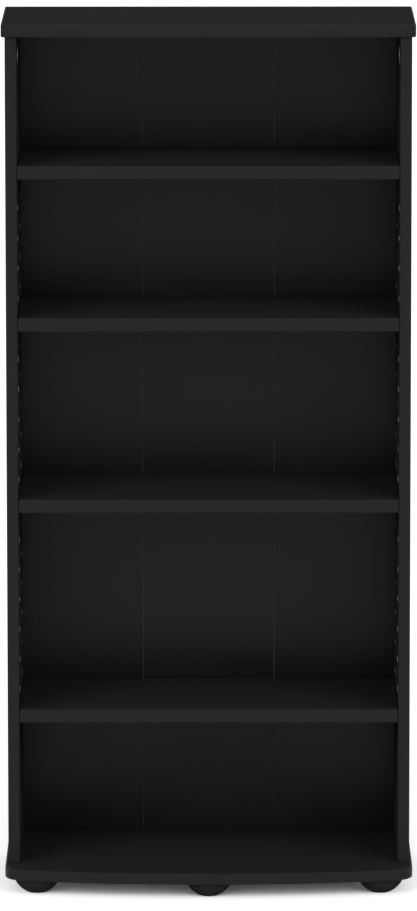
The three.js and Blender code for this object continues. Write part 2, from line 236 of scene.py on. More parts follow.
class Finish:
    """A procedural material: a principled shader with the nodes that feed it."""

    def __init__(self, name, **constants):
        self.material = bpy.data.materials.new(name)
        self.material.use_nodes = True
        self.tree = self.material.node_tree
        self.shader = self.tree.nodes["Principled BSDF"]
        for socket, value in constants.items():
            self.shader.inputs[socket.replace("_", " ")].default_value = value
        self.place = self.node("ShaderNodeTexCoord").outputs["Object"]

    def node(self, kind, inputs=None, **settings):
        made = self.tree.nodes.new(kind)
        for name, value in settings.items():
            setattr(made, name, value)
        for name, value in (inputs or {}).items():
            if isinstance(value, bpy.types.NodeSocket):
                self.tree.links.new(value, made.inputs[name])
            else:
                made.inputs[name].default_value = value
        return made

    def feed(self, socket, value):
        self.tree.links.new(value, self.shader.inputs[socket])

    def stretched(self, scale):
        return self.node("ShaderNodeMapping", {"Vector": self.place, "Scale": scale}).outputs["Vector"]

    def noise(self, scale, detail=2.0, roughness=0.5, place=None):
        return self.node("ShaderNodeTexNoise", {
            "Vector": place or self.place, "Scale": scale, "Detail": detail, "Roughness": roughness,
        }).outputs["Fac"]

    def flakes(self, scale, output, place=None):
        return self.node("ShaderNodeTexVoronoi", {
            "Vector": place or self.place, "Scale": scale,
        }).outputs[output]

    def ramp(self, factor, *stops):
        """A colour from a factor, by stops of (position, colour)."""
        made = self.node("ShaderNodeValToRGB", {"Fac": factor})
        elements = made.color_ramp.elements
        while len(elements) < len(stops):
            elements.new(0.5)
        for element, (position, color) in zip(elements, stops):
            element.position = position
            element.color = (*color, 1)
        return made.outputs["Color"]

    def remap(self, factor, low, high, start=0.3, end=0.7):
        return self.node("ShaderNodeMapRange", {
            "Value": factor, "From Min": start, "From Max": end, "To Min": low, "To Max": high,
        }).outputs["Result"]

    def math(self, operation, first, second):
        made = self.node("ShaderNodeMath", operation=operation)
        for socket, value in zip(made.inputs, (first, second)):
            if isinstance(value, bpy.types.NodeSocket):
                self.tree.links.new(value, socket)
            else:
                socket.default_value = value
        return made.outputs["Value"]

    def wave(self, coordinate, pitch):
        """A sine wave along a coordinate."""
        return self.math("SINE", self.math("MULTIPLY", coordinate, 2 * math.pi / pitch), 0)

    def blend(self, first, second, share):
        """Two patterns added up: a share of the first, and of the second the rest."""
        return self.math("ADD", self.math("MULTIPLY", first, share), self.math("MULTIPLY", second, 1 - share))

    def bump(self, height, distance, strength, under=None):
        inputs = {"Height": height, "Distance": distance, "Strength": strength}
        if under:
            inputs["Normal"] = under
        return self.node("ShaderNodeBump", inputs).outputs["Normal"]


def melamine_face():
    """Black melamine with a fine pearl grain and faint changes of sheen."""
    made = Finish("melamine_face", Specular_IOR_Level=0.002)
    grain = made.noise(scale=900, detail=3, roughness=0.6)
    cloud = made.noise(scale=9, detail=4, roughness=0.55)
    made.feed("Base Color", made.ramp(grain, (0.3, (0.0165, 0.0166, 0.0186)), (0.7, (0.0205, 0.0207, 0.023))))
    made.feed("Roughness", made.remap(cloud, low=0.84, high=0.92))
    made.feed("Normal", made.bump(grain, distance=0.03 * MM, strength=0.6))
    return made.material


def melamine_band():
    """Edge banding: the same black, a little smoother."""
    made = Finish("melamine_band", Specular_IOR_Level=0.05)
    fine = made.noise(scale=700, detail=2, roughness=0.5)
    cloud = made.noise(scale=14, detail=3, roughness=0.5)
    made.feed("Base Color", made.ramp(fine, (0.3, (0.013, 0.0131, 0.0147)), (0.7, (0.0168, 0.0169, 0.019))))
    made.feed("Roughness", made.remap(cloud, low=0.5, high=0.6))
    made.feed("Normal", made.bump(fine, distance=0.02 * MM, strength=0.5))
    return made.material


def chipboard_core():
    """Raw chipboard, where a hole or a sawn end shows it."""
    made = Finish("chipboard_core", Specular_IOR_Level=0.2)
    chips = made.flakes(scale=620, output="Color")
    shade = made.node("ShaderNodeSeparateColor", {"Color": chips}).outputs["Red"]
    made.feed("Base Color", made.ramp(
        shade, (0.0, (0.22, 0.185, 0.14)), (0.45, (0.40, 0.35, 0.28)), (1.0, (0.56, 0.51, 0.43)),
    ))
    made.feed("Roughness", made.remap(made.noise(scale=300), low=0.75, high=0.95))
    made.feed("Normal", made.bump(made.flakes(scale=620, output="Distance"), distance=0.2 * MM, strength=0.8))
    return made.material


def torn_foil():
    """The pale paper inside the melamine foil, where the drill has torn its edge."""
    made = Finish("torn_foil", Specular_IOR_Level=0.2)
    fray = made.noise(scale=1400, detail=3, roughness=0.6)
    made.feed("Base Color", made.ramp(fray, (0.3, (0.24, 0.24, 0.25)), (0.7, (0.42, 0.42, 0.44))))
    made.feed("Roughness", made.remap(fray, low=0.75, high=0.9))
    made.feed("Normal", made.bump(fray, distance=0.05 * MM, strength=0.7))
    return made.material


def hardboard_front():
    """The lacquered face of the back: smooth enough to mirror what stands in front of it."""
    made = Finish("hardboard_front", Specular_IOR_Level=0.17, Specular_Tint=(0.89, 0.9, 1, 1))
    peel = made.noise(scale=420, detail=2, roughness=0.5)
    cloud = made.noise(scale=7, detail=3, roughness=0.6)
    made.feed("Base Color", made.ramp(
        cloud, (0.35, (0.0045, 0.0045, 0.0053)), (0.65, (0.0059, 0.0059, 0.0069)),
    ))
    made.feed("Roughness", made.remap(cloud, low=0.28, high=0.36))
    made.feed("Normal", made.bump(peel, distance=0.02 * MM, strength=0.5))
    return made.material


def hardboard_rear():
    """The unlacquered face and edges: dark tempered fibre with the press screen's print."""
    made = Finish("hardboard_rear", Specular_IOR_Level=0.25)
    fibre = made.noise(scale=260, detail=5, roughness=0.65)
    cloud = made.noise(scale=11, detail=4, roughness=0.6)
    mixed = made.blend(fibre, cloud, share=0.6)
    made.feed("Base Color", made.ramp(
        mixed, (0.3, (0.030, 0.018, 0.010)), (0.52, (0.055, 0.034, 0.020)), (0.72, (0.082, 0.053, 0.032)),
    ))
    made.feed("Roughness", made.remap(fibre, low=0.6, high=0.78))
    place = made.node("ShaderNodeSeparateXYZ", {"Vector": made.place}).outputs
    screen = made.math("MAXIMUM", *[made.wave(place[axis], SCREEN_PITCH) for axis in "XZ"])
    rough = made.bump(fibre, distance=0.08 * MM, strength=0.7)
    made.feed("Normal", made.bump(screen, distance=0.06 * MM, strength=0.6, under=rough))
    return made.material


def woven_tape():
    """Pale grey cloth tape in plain weave."""
    made = Finish("woven_tape", Specular_IOR_Level=0.25)
    place = made.node("ShaderNodeSeparateXYZ", {"Vector": made.place}).outputs
    threads = [made.wave(place[axis], WEAVE_PITCH) for axis in "XZ"]
    weave = made.remap(made.math("MULTIPLY", *threads), low=0.0, high=1.0, start=-1.0, end=1.0)
    worn = made.noise(scale=60, detail=3, roughness=0.6)
    mixed = made.blend(weave, worn, share=0.7)
    made.feed("Base Color", made.ramp(mixed, (0.2, (0.205, 0.21, 0.22)), (0.8, (0.34, 0.345, 0.36))))
    made.feed("Roughness", made.remap(worn, low=0.72, high=0.88))
    made.feed("Normal", made.bump(weave, distance=0.12 * MM, strength=0.8))
    return made.material


def nickel_plate():
    """Nickel plating on small steel fittings."""
    made = Finish("nickel_plate", Metallic=1.0)
    mottle = made.noise(scale=500, detail=3, roughness=0.6)
    made.feed("Base Color", made.ramp(mottle, (0.3, (0.50, 0.47, 0.43)), (0.7, (0.62, 0.60, 0.56))))
    made.feed("Roughness", made.remap(mottle, low=0.24, high=0.38))
    made.feed("Normal", made.bump(mottle, distance=0.02 * MM, strength=0.4))
    return made.material


def cast_zinc():
    """Bare die-cast zinc with the cloudy skin of the casting."""
    made = Finish("cast_zinc", Metallic=1.0)
    skin = made.noise(scale=350, detail=5, roughness=0.65)
    cloud = made.noise(scale=90, detail=3, roughness=0.6)
    made.feed("Base Color", made.ramp(cloud, (0.3, (0.25, 0.257, 0.272)), (0.7, (0.35, 0.357, 0.372))))
    made.feed("Roughness", made.remap(cloud, low=0.48, high=0.62))
    made.feed("Normal", made.bump(skin, distance=0.06 * MM, strength=0.6))
    return made.material


def beech_wood():
    """Beech, with its grain along the dowel and short dark flecks."""
    made = Finish("beech_wood", Specular_IOR_Level=0.3)
    grain = made.noise(scale=900, detail=4, roughness=0.6, place=made.stretched((1, 1, 0.08)))
    flecks = made.noise(scale=2600, detail=2, roughness=0.5, place=made.stretched((1, 1, 0.15)))
    mixed = made.blend(grain, flecks, share=0.65)
    made.feed("Base Color", made.ramp(
        mixed, (0.3, (0.38, 0.22, 0.10)), (0.5, (0.58, 0.38, 0.20)), (0.7, (0.68, 0.49, 0.29)),
    ))
    made.feed("Roughness", made.remap(grain, low=0.6, high=0.75))
    made.feed("Normal", made.bump(grain, distance=0.08 * MM, strength=0.6))
    return made.material


def black_plastic():
    """Moulded black plastic with a spark-eroded grain."""
    made = Finish("moulded_plastic", Specular_IOR_Level=0.003)
    grain = made.noise(scale=1100, detail=3, roughness=0.6)
    made.feed("Base Color", made.ramp(grain, (0.3, (0.017, 0.017, 0.018)), (0.7, (0.0235, 0.0235, 0.0248))))
    made.feed("Roughness", made.remap(made.noise(scale=40, detail=3), low=0.7, high=0.8))
    made.feed("Normal", made.bump(grain, distance=0.04 * MM, strength=0.6))
    return made.material


FACE, BAND, CORE, FOIL = melamine_face(), melamine_band(), chipboard_core(), torn_foil()
LACQUER, FIBRE, TAPE = hardboard_front(), hardboard_rear(), woven_tape()
NICKEL, ZINC, BEECH, PLASTIC = nickel_plate(), cast_zinc(), beech_wood(), black_plastic()


# ---------- Mesh helpers ----------

# A slab's local axes are u, v and its thickness w; each matrix lays w along one axis of the tower
LYING = Matrix.Identity(4)
SIDEWAYS = Matrix(((0, 0, 1, 0), (1, 0, 0, 0), (0, 1, 0, 0), (0, 0, 0, 1)))
BACKWARDS = Matrix(((0, 1, 0, 0), (0, 0, 1, 0), (1, 0, 0, 0), (0, 0, 0, 1)))


def along(origin, direction):
    """Places a piece made along +Z at an origin, pointing in a direction."""
    turn = Vector(direction).to_track_quat("Z", "Y").to_matrix().to_4x4()
    return Matrix.Translation(origin) @ turn


def bridge(mesh, lower, upper):
    """Faces between two rings; a ring of one vertex is a tip."""
    count = max(len(lower), len(upper))
    for here in range(count):
        after = (here + 1) % count
        corners = [lower[here % len(lower)], lower[after % len(lower)],
                   upper[after % len(upper)], upper[here % len(upper)]]
        face = [corner for index, corner in enumerate(corners) if corner not in corners[:index]]
        if len(face) > 2:
            mesh.faces.new(face)


def add_turned(mesh, profile, segments, place, closed=False):
    """A turned solid from (radius, height) points, where a radius may be a function of the angle.

    A closed profile joins its last ring to its first.
    """
    rings = []
    for radius, height in profile:
        reach = radius if callable(radius) else lambda angle, fixed=radius: fixed
        count = 1 if radius == 0 else segments
        angles = [2 * math.pi * index / segments for index in range(count)]
        rings.append([mesh.verts.new(place @ Vector((reach(a) * math.cos(a), reach(a) * math.sin(a), height)))
                      for a in angles])
    for lower, upper in zip(rings, rings[1:]):
        bridge(mesh, lower, upper)
    if closed:
        bridge(mesh, rings[-1], rings[0])


def inset(outline, distance):
    """An anticlockwise outline moved inwards."""
    moved = []
    for before, here, after in zip(outline[-1:] + outline[:-1], outline, outline[1:] + outline[:1]):
        first, second = (here - before).normalized(), (after - here).normalized()
        normals = Vector((-first.y, first.x)), Vector((-second.y, second.x))
        moved.append(here + distance * (normals[0] + normals[1]) / (1 + normals[0].dot(normals[1])))
    return moved


def add_slab(mesh, outline, low, high, arris, place):
    """A slab with rounded arrises, from its outline and its two faces' heights."""
    levels = []
    for step in range(ARRIS_STEPS + 1):
        turn = math.pi / 2 * step / ARRIS_STEPS
        levels.append((arris * (1 - math.sin(turn)), arris * (1 - math.cos(turn))))
    heights = [(back, low + rise) for back, rise in levels]
    heights += [(back, high - rise) for back, rise in reversed(levels)]
    rings = [[mesh.verts.new(place @ Vector((*point, height))) for point in inset(outline, back)]
             for back, height in heights]
    for lower, upper in zip(rings, rings[1:]):
        bridge(mesh, lower, upper)
    mesh.faces.new(rings[0][::-1])
    mesh.faces.new(rings[-1])


def arc(center, radius, start, end, steps):
    return [center + radius * Vector((math.cos(start + (end - start) * step / steps),
                                      math.sin(start + (end - start) * step / steps)))
            for step in range(steps + 1)]


def block(mesh, low, high):
    """A plain box for cutting."""
    corners = [Vector((x, y, z))
               for x in (low[0], high[0]) for y in (low[1], high[1]) for z in (low[2], high[2])]
    bmesh.ops.convex_hull(mesh, input=[mesh.verts.new(corner) for corner in corners])


def thread(crest, root, start, end):
    """Profile rows of a screw thread, for add_turned."""
    count = round((end - start) / THREAD_PITCH * THREAD_ROWS)

    def row(height):
        def radius(angle):
            phase = (height / THREAD_PITCH - angle / (2 * math.pi)) % 1
            return root + (crest - root) * max(0.0, 1 - THREAD_STEEPNESS * abs(phase - 0.5))
        return radius, height

    return [row(start + (end - start) * index / count) for index in range(count + 1)]


def rectangle(low, high, corner, steps=2):
    """An anticlockwise rectangle with rounded corners."""
    quarter = math.pi / 2
    centers = [(high[0] - corner, high[1] - corner), (low[0] + corner, high[1] - corner),
               (low[0] + corner, low[1] + corner), (high[0] - corner, low[1] + corner)]
    return [point for index, center in enumerate(centers)
            for point in arc(Vector(center), corner, index * quarter, (index + 1) * quarter, steps)]


def bowed(node, bow_radius, corner_radius):
    """Plan of a board with a bowed front and rounded front corners, from its node's box."""
    low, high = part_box(node)
    corner_x = high.x - corner_radius
    bow_y = low.y + bow_radius
    corner_y = bow_y - math.sqrt((bow_radius - corner_radius) ** 2 - corner_x ** 2)
    turn = math.atan2(bow_y - corner_y, corner_x)
    quarter = math.pi / 2
    rear_corners = [Vector((sign * (high.x - BOWED_CORNER), high.y - BOWED_CORNER)) for sign in (1, -1)]
    left_corner, right_corner = Vector((-corner_x, corner_y)), Vector((corner_x, corner_y))
    outline = arc(rear_corners[0], BOWED_CORNER, 0, quarter, REAR_CORNER_STEPS)
    outline += arc(rear_corners[1], BOWED_CORNER, quarter, 2 * quarter, REAR_CORNER_STEPS)
    outline += arc(left_corner, corner_radius, math.pi, math.pi + turn, PLAN_CORNER_STEPS)[:-1]
    outline += arc(Vector((0, bow_y)), bow_radius, math.pi + turn, 2 * math.pi - turn, PLAN_BOW_STEPS)
    outline += arc(right_corner, corner_radius, 2 * math.pi - turn, 2 * math.pi, PLAN_CORNER_STEPS)[1:]
    return outline


def as_object(name, mesh, materials):
    bmesh.ops.recalc_face_normals(mesh, faces=mesh.faces)
    data = bpy.data.meshes.new(name)
    mesh.to_mesh(data)
    mesh.free()
    for material in materials:
        data.materials.append(material)
    made = bpy.data.objects.new(name, data)
    bpy.context.scene.collection.objects.link(made)
    return made


def combine(piece, tool, operation):
    """Cuts a tool out of a piece or joins it on, and removes the tool."""
    modifier = piece.modifiers.new(operation.lower(), "BOOLEAN")
    modifier.operation = operation
    modifier.solver = "EXACT"
    modifier.material_mode = "TRANSFER"
    modifier.object = tool
    evaluated = piece.evaluated_get(bpy.context.evaluated_depsgraph_get())
    data = bpy.data.meshes.new_from_object(evaluated)
    piece.modifiers.clear()
    piece.data = data
    bpy.data.objects.remove(tool)


def cut(piece, mesh, material):
    combine(piece, as_object("cutter", mesh, [material]), "DIFFERENCE")


def join(piece, mesh, material):
    combine(piece, as_object("joined", mesh, [material]), "UNION")


def shade(piece, weighted=True):
    """Smooth shading that keeps hard edges, with flat faces left flat."""
    piece.data.shade_smooth()
    piece.data.set_sharp_from_angle(angle=SHARP_ANGLE)
    if weighted:
        modifier = piece.modifiers.new("flat_faces", "WEIGHTED_NORMAL")
        modifier.keep_sharp = True


def paint(piece, choose):
    """Gives each face the material that its direction calls for."""
    for polygon in piece.data.polygons:
        polygon.material_index = choose(polygon.normal)


def place_copy(name, template, place, node):
    """A fitting made from a shared mesh, standing for a CAD node."""
    piece = bpy.data.objects.new(name, template)
    bpy.context.scene.collection.objects.link(piece)
    piece.matrix_world = place
    install(piece, node)


def as_template(piece):
    """The finished mesh of a piece, for place_copy."""
    shade(piece, weighted=False)
    data = piece.data
    bpy.data.objects.remove(piece)
    return data


def install(piece, node):
    """The piece stands for a CAD node: it rides on its body, and the node is hidden."""
    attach(piece, frame["nodes"][node]["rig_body"])
    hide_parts(node)


# ---------- Boards ----------

SIDES = {"left": -1, "right": 1}
SHELVES = ("shelf_1", "shelf_2", "shelf_3", "shelf_4")
FRONT, LEFT, RIGHT = Vector((0, -1, 0)), Vector((-1, 0, 0)), Vector((1, 0, 0))
FACE_SLOT, BAND_SLOT, CORE_SLOT = 0, 1, 2


def board_look(thickness_axis, banded):
    """Melamine on both faces, banding on the banded edges and a raw core on the others."""
    def choose(normal):
        if max(normal.dot(direction) for direction in banded) > TOWARDS_BAND:
            return BAND_SLOT
        return CORE_SLOT if abs(normal[thickness_axis]) < TOWARDS_FACE else FACE_SLOT
    return choose


def board(node, outline, low, high, place, banded, arris=ARRIS):
    mesh = bmesh.new()
    add_slab(mesh, outline, low, high, arris, place)
    piece = as_object(node + "_finished", mesh, [FACE, BAND, CORE])
    thickness_axis = max(range(3), key=lambda axis: place[axis][2])
    paint(piece, board_look(thickness_axis, banded))
    return piece


def hole(radius, depth, point=0.0):
    """Profile of a blind hole's cutter, with a small chamfer at its mouth and a flat or a pointed bottom."""
    return [(0, -OVERCUT), (radius + HOLE_CHAMFER + OVERCUT, -OVERCUT), (radius, HOLE_CHAMFER),
            (radius, depth), (0, depth + point)]


def torn_rim(radius, width, height):
    """Profile of the melamine's torn edge, which the drill lifts a little round a hole."""
    return [(radius + RIM_FOOT, -RIM_ROOT), (radius + RIM_LIP, RIM_LIP_HEIGHT * height),
            (radius + RIM_CREST_PLACE * width, height),
            (radius + RIM_SLOPE_PLACE * width, RIM_SLOPE_HEIGHT * height), (radius + width, -RIM_ROOT)]


def plain_hole(radius, start, end):
    return [(0, start), (radius, start), (radius, end), (0, end)]


def make_shelves():
    for node in SHELVES:
        low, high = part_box(node)
        outline = rectangle(low.xy, high.xy, BOARD_CORNER)
        piece = board(node, outline, low.z, high.z, LYING, [FRONT])
        shade(piece)
        install(piece, node)


def add_torn_rims(piece, name, inner_x, low, high):
    """The torn rims of the holes that hold no pin."""
    pins = [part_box(f"{shelf}_pin_{name}_front") for shelf in SHELVES]
    taken = [pin[0].z + PIN_FLANGE_BELOW for pin in pins]
    columns = ((low.y + PEG_COLUMN_INSET, FRONT_TORN_RIM), (high.y - PEG_COLUMN_INSET, REAR_TORN_RIM))
    rims = bmesh.new()
    rims.from_mesh(piece.data)
    first = len(rims.faces)
    for row in range(PEG_ROWS):
        height = low.z + FIRST_PEG_HEIGHT + row * PEG_PITCH
        if min(abs(height - pin) for pin in taken) > PEG_HOLE_RADIUS:
            for y, rim in columns:
                inward = along(Vector((inner_x, y, height)), (-SIDES[name], 0, 0))
                add_turned(rims, torn_rim(PEG_HOLE_RADIUS, *rim), COARSE, inward, closed=True)
    piece.data.materials.append(FOIL)
    rims.faces.ensure_lookup_table()
    for face in rims.faces[first:]:
        face.material_index = len(piece.data.materials) - 1
    bmesh.ops.recalc_face_normals(rims, faces=rims.faces[first:])
    rims.to_mesh(piece.data)
    rims.free()


def make_sides():
    for name, side in SIDES.items():
        node = f"side_panel_{name}"
        low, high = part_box(node)
        inner_x = high.x if side < 0 else low.x
        outward = Vector((side, 0, 0))
        outline = rectangle((low.y, low.z), (high.y, high.z), BOARD_CORNER)
        piece = board(node, outline, low.x, high.x, SIDEWAYS, [FRONT])
        blind_holes = bmesh.new()
        for row in range(PEG_ROWS):
            for y in (low.y + PEG_COLUMN_INSET, high.y - PEG_COLUMN_INSET):
                mouth = Vector((inner_x, y, low.z + FIRST_PEG_HEIGHT + row * PEG_PITCH))
                profile = hole(PEG_HOLE_RADIUS, PEG_HOLE_DEPTH, PEG_HOLE_POINT)
                add_turned(blind_holes, profile, MEDIUM, along(mouth, outward))
        pocket = Vector((inner_x, low.y + CAM_SETBACK, high.z - CAM_DROP))
        add_turned(blind_holes, hole(CAM_POCKET_RADIUS, CAM_POCKET_DEPTH), FINE, along(pocket, outward))
        cut(piece, blind_holes, CORE)
        channels = bmesh.new()
        middle_x = (low.x + high.x) / 2
        up = Vector((0, 0, 1))
        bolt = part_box(f"cam_bolt_{name}")
        bolt_radius = (bolt[1].x - bolt[0].x) / 2 + FIT_PLAY
        bolt_foot = Vector((middle_x, pocket.y, pocket.z))
        add_turned(channels, plain_hole(bolt_radius, 0, CAM_DROP + OVERCUT), MEDIUM, along(bolt_foot, up))
        for end in ("front", "rear"):
            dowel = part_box(f"top_dowel_{name}_{end}")
            foot = Vector((middle_x, (dowel[0].y + dowel[1].y) / 2, dowel[0].z - FIT_PLAY))
            profile = plain_hole(DOWEL_RADIUS + FIT_PLAY, 0, high.z - foot.z + OVERCUT)
            add_turned(channels, profile, MEDIUM, along(foot, up))
        cut(piece, channels, CORE)
        add_torn_rims(piece, name, inner_x, low, high)
        shade(piece)
        install(piece, node)


def make_top():
    node = "top_board"
    low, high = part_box(node)
    outline = bowed(node, TOP_BOW_RADIUS, TOP_CORNER_RADIUS)
    piece = board(node, outline, low.z, high.z, LYING, [FRONT, LEFT, RIGHT], BOWED_ARRIS)
    shade(piece)
    install(piece, node)


def make_base():
    """The base board, countersunk from below for the screws that go up into the side panels."""
    node = "base_board"
    low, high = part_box(node)
    outline = bowed(node, BASE_BOW_RADIUS, BASE_CORNER_RADIUS)
    piece = board(node, outline, low.z, high.z, LYING, [FRONT, LEFT, RIGHT], BOWED_ARRIS)
    mouth, shank = BASE_SCREW_HEAD + SINK_PLAY, BASE_SCREW_SHANK + FIT_PLAY
    past = high.z - low.z + OVERCUT
    sinks = bmesh.new()
    for name in SIDES:
        for end in ("front", "rear"):
            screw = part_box(f"base_screw_{name}_{end}")
            foot = Vector(((screw[0].x + screw[1].x) / 2, (screw[0].y + screw[1].y) / 2, low.z))
            add_turned(sinks, [(0, -OVERCUT), (mouth, -OVERCUT), (mouth, SINK_LAND),
                               (shank, BASE_SCREW_HEAD_HEIGHT), (shank, past), (0, past)],
                       MEDIUM, Matrix.Translation(foot))
    cut(piece, sinks, CORE)
    shade(piece)
    install(piece, node)


# ---------- Back ----------

def upright_sheet(low, high, arris):
    """A sheet that stands across the back and fills its box."""
    mesh = bmesh.new()
    outline = rectangle((low.z, low.x), (high.z, high.x), LEAF_CORNER)
    add_slab(mesh, outline, low.y, high.y, arris, BACKWARDS)
    return mesh


def make_back():
    """Three leaves, and the tapes behind them.

    The tapes are pressed a little way into the gaps, less so below the lowest shelf.
    """
    leaf_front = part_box("back_leaf_middle")[0].y
    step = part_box("shelf_4")[0].z
    for name in ("left", "middle", "right"):
        node = f"back_leaf_{name}"
        low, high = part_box(node)
        piece = as_object(node + "_finished", upright_sheet(low, high, LEAF_ARRIS), [LACQUER, FIBRE])
        paint(piece, lambda normal: 0 if normal.dot(FRONT) > TOWARDS_FRONT else 1)
        shade(piece)
        install(piece, node)
    for name in SIDES:
        node = f"back_hinge_tape_{name}"
        low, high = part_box(node)
        piece = as_object(node + "_finished", upright_sheet(low, high, TAPE_ARRIS), [TAPE])
        middle = (low.x + high.x) / 2
        half = TAPE_RIDGE_WIDTH / 2
        for start, end, behind in (
                (low.z + TAPE_RIDGE_END, step - TAPE_RIDGE_STEP, TAPE_RIDGE_BEHIND_LOW),
                (step + TAPE_RIDGE_STEP, high.z - TAPE_RIDGE_END, TAPE_RIDGE_BEHIND)):
            ridge = bmesh.new()
            outline = rectangle((start, middle - half), (end, middle + half), TAPE_RIDGE_CORNER)
            add_slab(ridge, outline, leaf_front + behind, low.y + TAPE_ARRIS, TAPE_ARRIS, BACKWARDS)
            join(piece, ridge, TAPE)
        shade(piece)
        install(piece, node)


def nail_places():
    """Where the nails go: round the rim of the back, clear of the tapes."""
    left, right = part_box("back_leaf_left")[0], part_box("back_leaf_right")[1]
    low_x, high_x = left.x + NAIL_EDGE_DISTANCE, right.x - NAIL_EDGE_DISTANCE
    low_z, high_z = left.z + NAIL_EDGE_DISTANCE, right.z - NAIL_EDGE_DISTANCE
    rows = round((high_z - low_z) / NAIL_SPACING)
    places = [(x, low_z + (high_z - low_z) * row / rows)
              for row in range(rows + 1) for x in (low_x, high_x)]
    for leaf in ("left", "middle", "right"):
        low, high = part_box(f"back_leaf_{leaf}")
        for share in NAIL_SHARES:
            x = low.x + (high.x - low.x) * share
            places += [(x, low_z), (x, high_z)]
    return places


def make_nails():
    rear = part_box("back_leaf_middle")[1].y
    mesh = bmesh.new()
    for x, z in nail_places():
        profile = [(0, -NAIL_LENGTH), (NAIL_SHANK_RADIUS, -NAIL_LENGTH + NAIL_POINT), (NAIL_SHANK_RADIUS, 0),
                   (NAIL_HEAD_RADIUS, 0), (NAIL_HEAD_RADIUS, NAIL_EDGE_RATIO * NAIL_PROUD),
                   (NAIL_HEAD_RADIUS - NAIL_HEAD_EDGE, NAIL_SHOULDER_RATIO * NAIL_PROUD),
                   (0, NAIL_PROUD)]
        add_turned(mesh, profile, COARSE, along(Vector((x, rear, z)), (0, 1, 0)))
    piece = as_object("back_nails", mesh, [NICKEL])
    shade(piece, weighted=False)
    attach(piece, "carcass")


# ---------- Feet ----------

def make_feet():
    for place in ("front_left", "front_middle", "front_right", "rear_left", "rear_right"):
        node = f"foot_{place}"
        low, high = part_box(node)
        center = (low + high) / 2
        radius = (high.x - low.x) / 2
        height = high.z
        dome_center = math.sqrt(FOOT_DOME_RADIUS ** 2 - FOOT_FLAT_RADIUS ** 2)
        start = math.asin(FOOT_FLAT_RADIUS / FOOT_DOME_RADIUS)
        end = math.asin(radius / FOOT_DOME_RADIUS)
        turns = [start + (end - start) * step / FOOT_DOME_STEPS for step in range(1, FOOT_DOME_STEPS + 1)]
        dome = [(FOOT_DOME_RADIUS * math.sin(turn), dome_center - FOOT_DOME_RADIUS * math.cos(turn))
                for turn in turns]
        profile = [(FOOT_BORE_RADIUS, FOOT_EDGE), (FOOT_BORE_RADIUS + FOOT_EDGE, 0), (FOOT_FLAT_RADIUS, 0),
                   *dome, (radius, height - FOOT_EDGE), (radius - FOOT_EDGE, height),
                   (FOOT_SHANK_RADIUS, height), (FOOT_SHANK_RADIUS, FOOT_BORE_DEPTH),
                   (FOOT_BORE_RADIUS, FOOT_BORE_DEPTH)]
        mesh = bmesh.new()
        add_turned(mesh, profile, FINE, Matrix.Translation((center.x, center.y, 0)), closed=True)
        piece = as_object(node + "_finished", mesh, [PLASTIC])
        shade(piece, weighted=False)
        install(piece, node)


# ---------- Fittings ----------

def cut_cross(piece, length, width, depth, material):
    """A cross recess, down from the face at z = 0."""
    for half_x, half_y in ((length / 2, width / 2), (width / 2, length / 2)):
        bar = bmesh.new()
        block(bar, (-half_x, -half_y, -depth), (half_x, half_y, OVERCUT))
        cut(piece, bar, material)


def cam_template():
    """A cam lock: its face at z = 0 with a raised rim, the cross and an arrow, and its slot towards +X."""
    mesh = bmesh.new()
    rim_inside = CAM_RADIUS - CAM_RIM_WIDTH
    add_turned(mesh, [
        (0, -CAM_DISH), (rim_inside - CAM_BEVEL, -CAM_DISH), (rim_inside, 0),
        (CAM_RADIUS - CAM_BEVEL, 0), (CAM_RADIUS, -CAM_BEVEL), (CAM_RADIUS, CAM_BEVEL - CAM_THICKNESS),
        (CAM_RADIUS - CAM_BEVEL, -CAM_THICKNESS), (0, -CAM_THICKNESS),
    ], FINE, LYING)
    piece = as_object("cam", mesh, [ZINC])
    slot = bmesh.new()
    face_to_slot = CAM_SLOT_FROM + CAM_PROUD
    block(slot, (-CAM_SLOT_BELOW, -CAM_SLOT_WIDTH / 2, -CAM_THICKNESS - OVERCUT),
          (CAM_RADIUS + OVERCUT, CAM_SLOT_WIDTH / 2, -face_to_slot))
    cut(piece, slot, ZINC)
    arrow = bmesh.new()
    tip = rim_inside - CAM_ARROW_GAP
    outline = [Vector((tip, 0)), Vector((tip - CAM_ARROW_LENGTH, CAM_ARROW_LENGTH / 2)),
               Vector((tip - CAM_ARROW_LENGTH, -CAM_ARROW_LENGTH / 2))]
    levels = [[arrow.verts.new((*point, height)) for point in outline]
              for height in (-2 * CAM_DISH, OVERCUT)]
    bmesh.ops.convex_hull(arrow, input=levels[0] + levels[1])
    cut(piece, arrow, ZINC)
    length, width, depth = CAM_CROSS
    cut_cross(piece, length, width, depth, ZINC)
    return as_template(piece)


def bolt_template():
    """A cam bolt, head down, with the underside of the top board at z = 0."""
    bottom = -CAM_DROP - BOLT_HEAD_LENGTH / 2
    head_top = bottom + BOLT_HEAD_LENGTH
    neck_top = head_top + BOLT_NECK_LENGTH
    root = BOLT_ROOT_RATIO * BOLT_THREAD_RADIUS
    mesh = bmesh.new()
    add_turned(mesh, [
        (0, bottom), (BOLT_HEAD_RADIUS - BOLT_BEVEL, bottom), (BOLT_HEAD_RADIUS, bottom + BOLT_BEVEL),
        (BOLT_HEAD_RADIUS, head_top), (BOLT_NECK_RADIUS, head_top + BOLT_BEVEL),
        (BOLT_NECK_RADIUS, neck_top), (BOLT_SHANK_RADIUS, neck_top + BOLT_BEVEL),
        (BOLT_SHANK_RADIUS, -FIT_PLAY), (root, 0),
        *thread(BOLT_THREAD_RADIUS, root, BOLT_BEVEL, BOLT_THREAD_LENGTH - BOLT_PLAIN_TIP),
        (root, BOLT_THREAD_LENGTH - BOLT_BEVEL), (0, BOLT_THREAD_LENGTH),
    ], MEDIUM, LYING)
    return as_template(as_object("bolt", mesh, [NICKEL]))


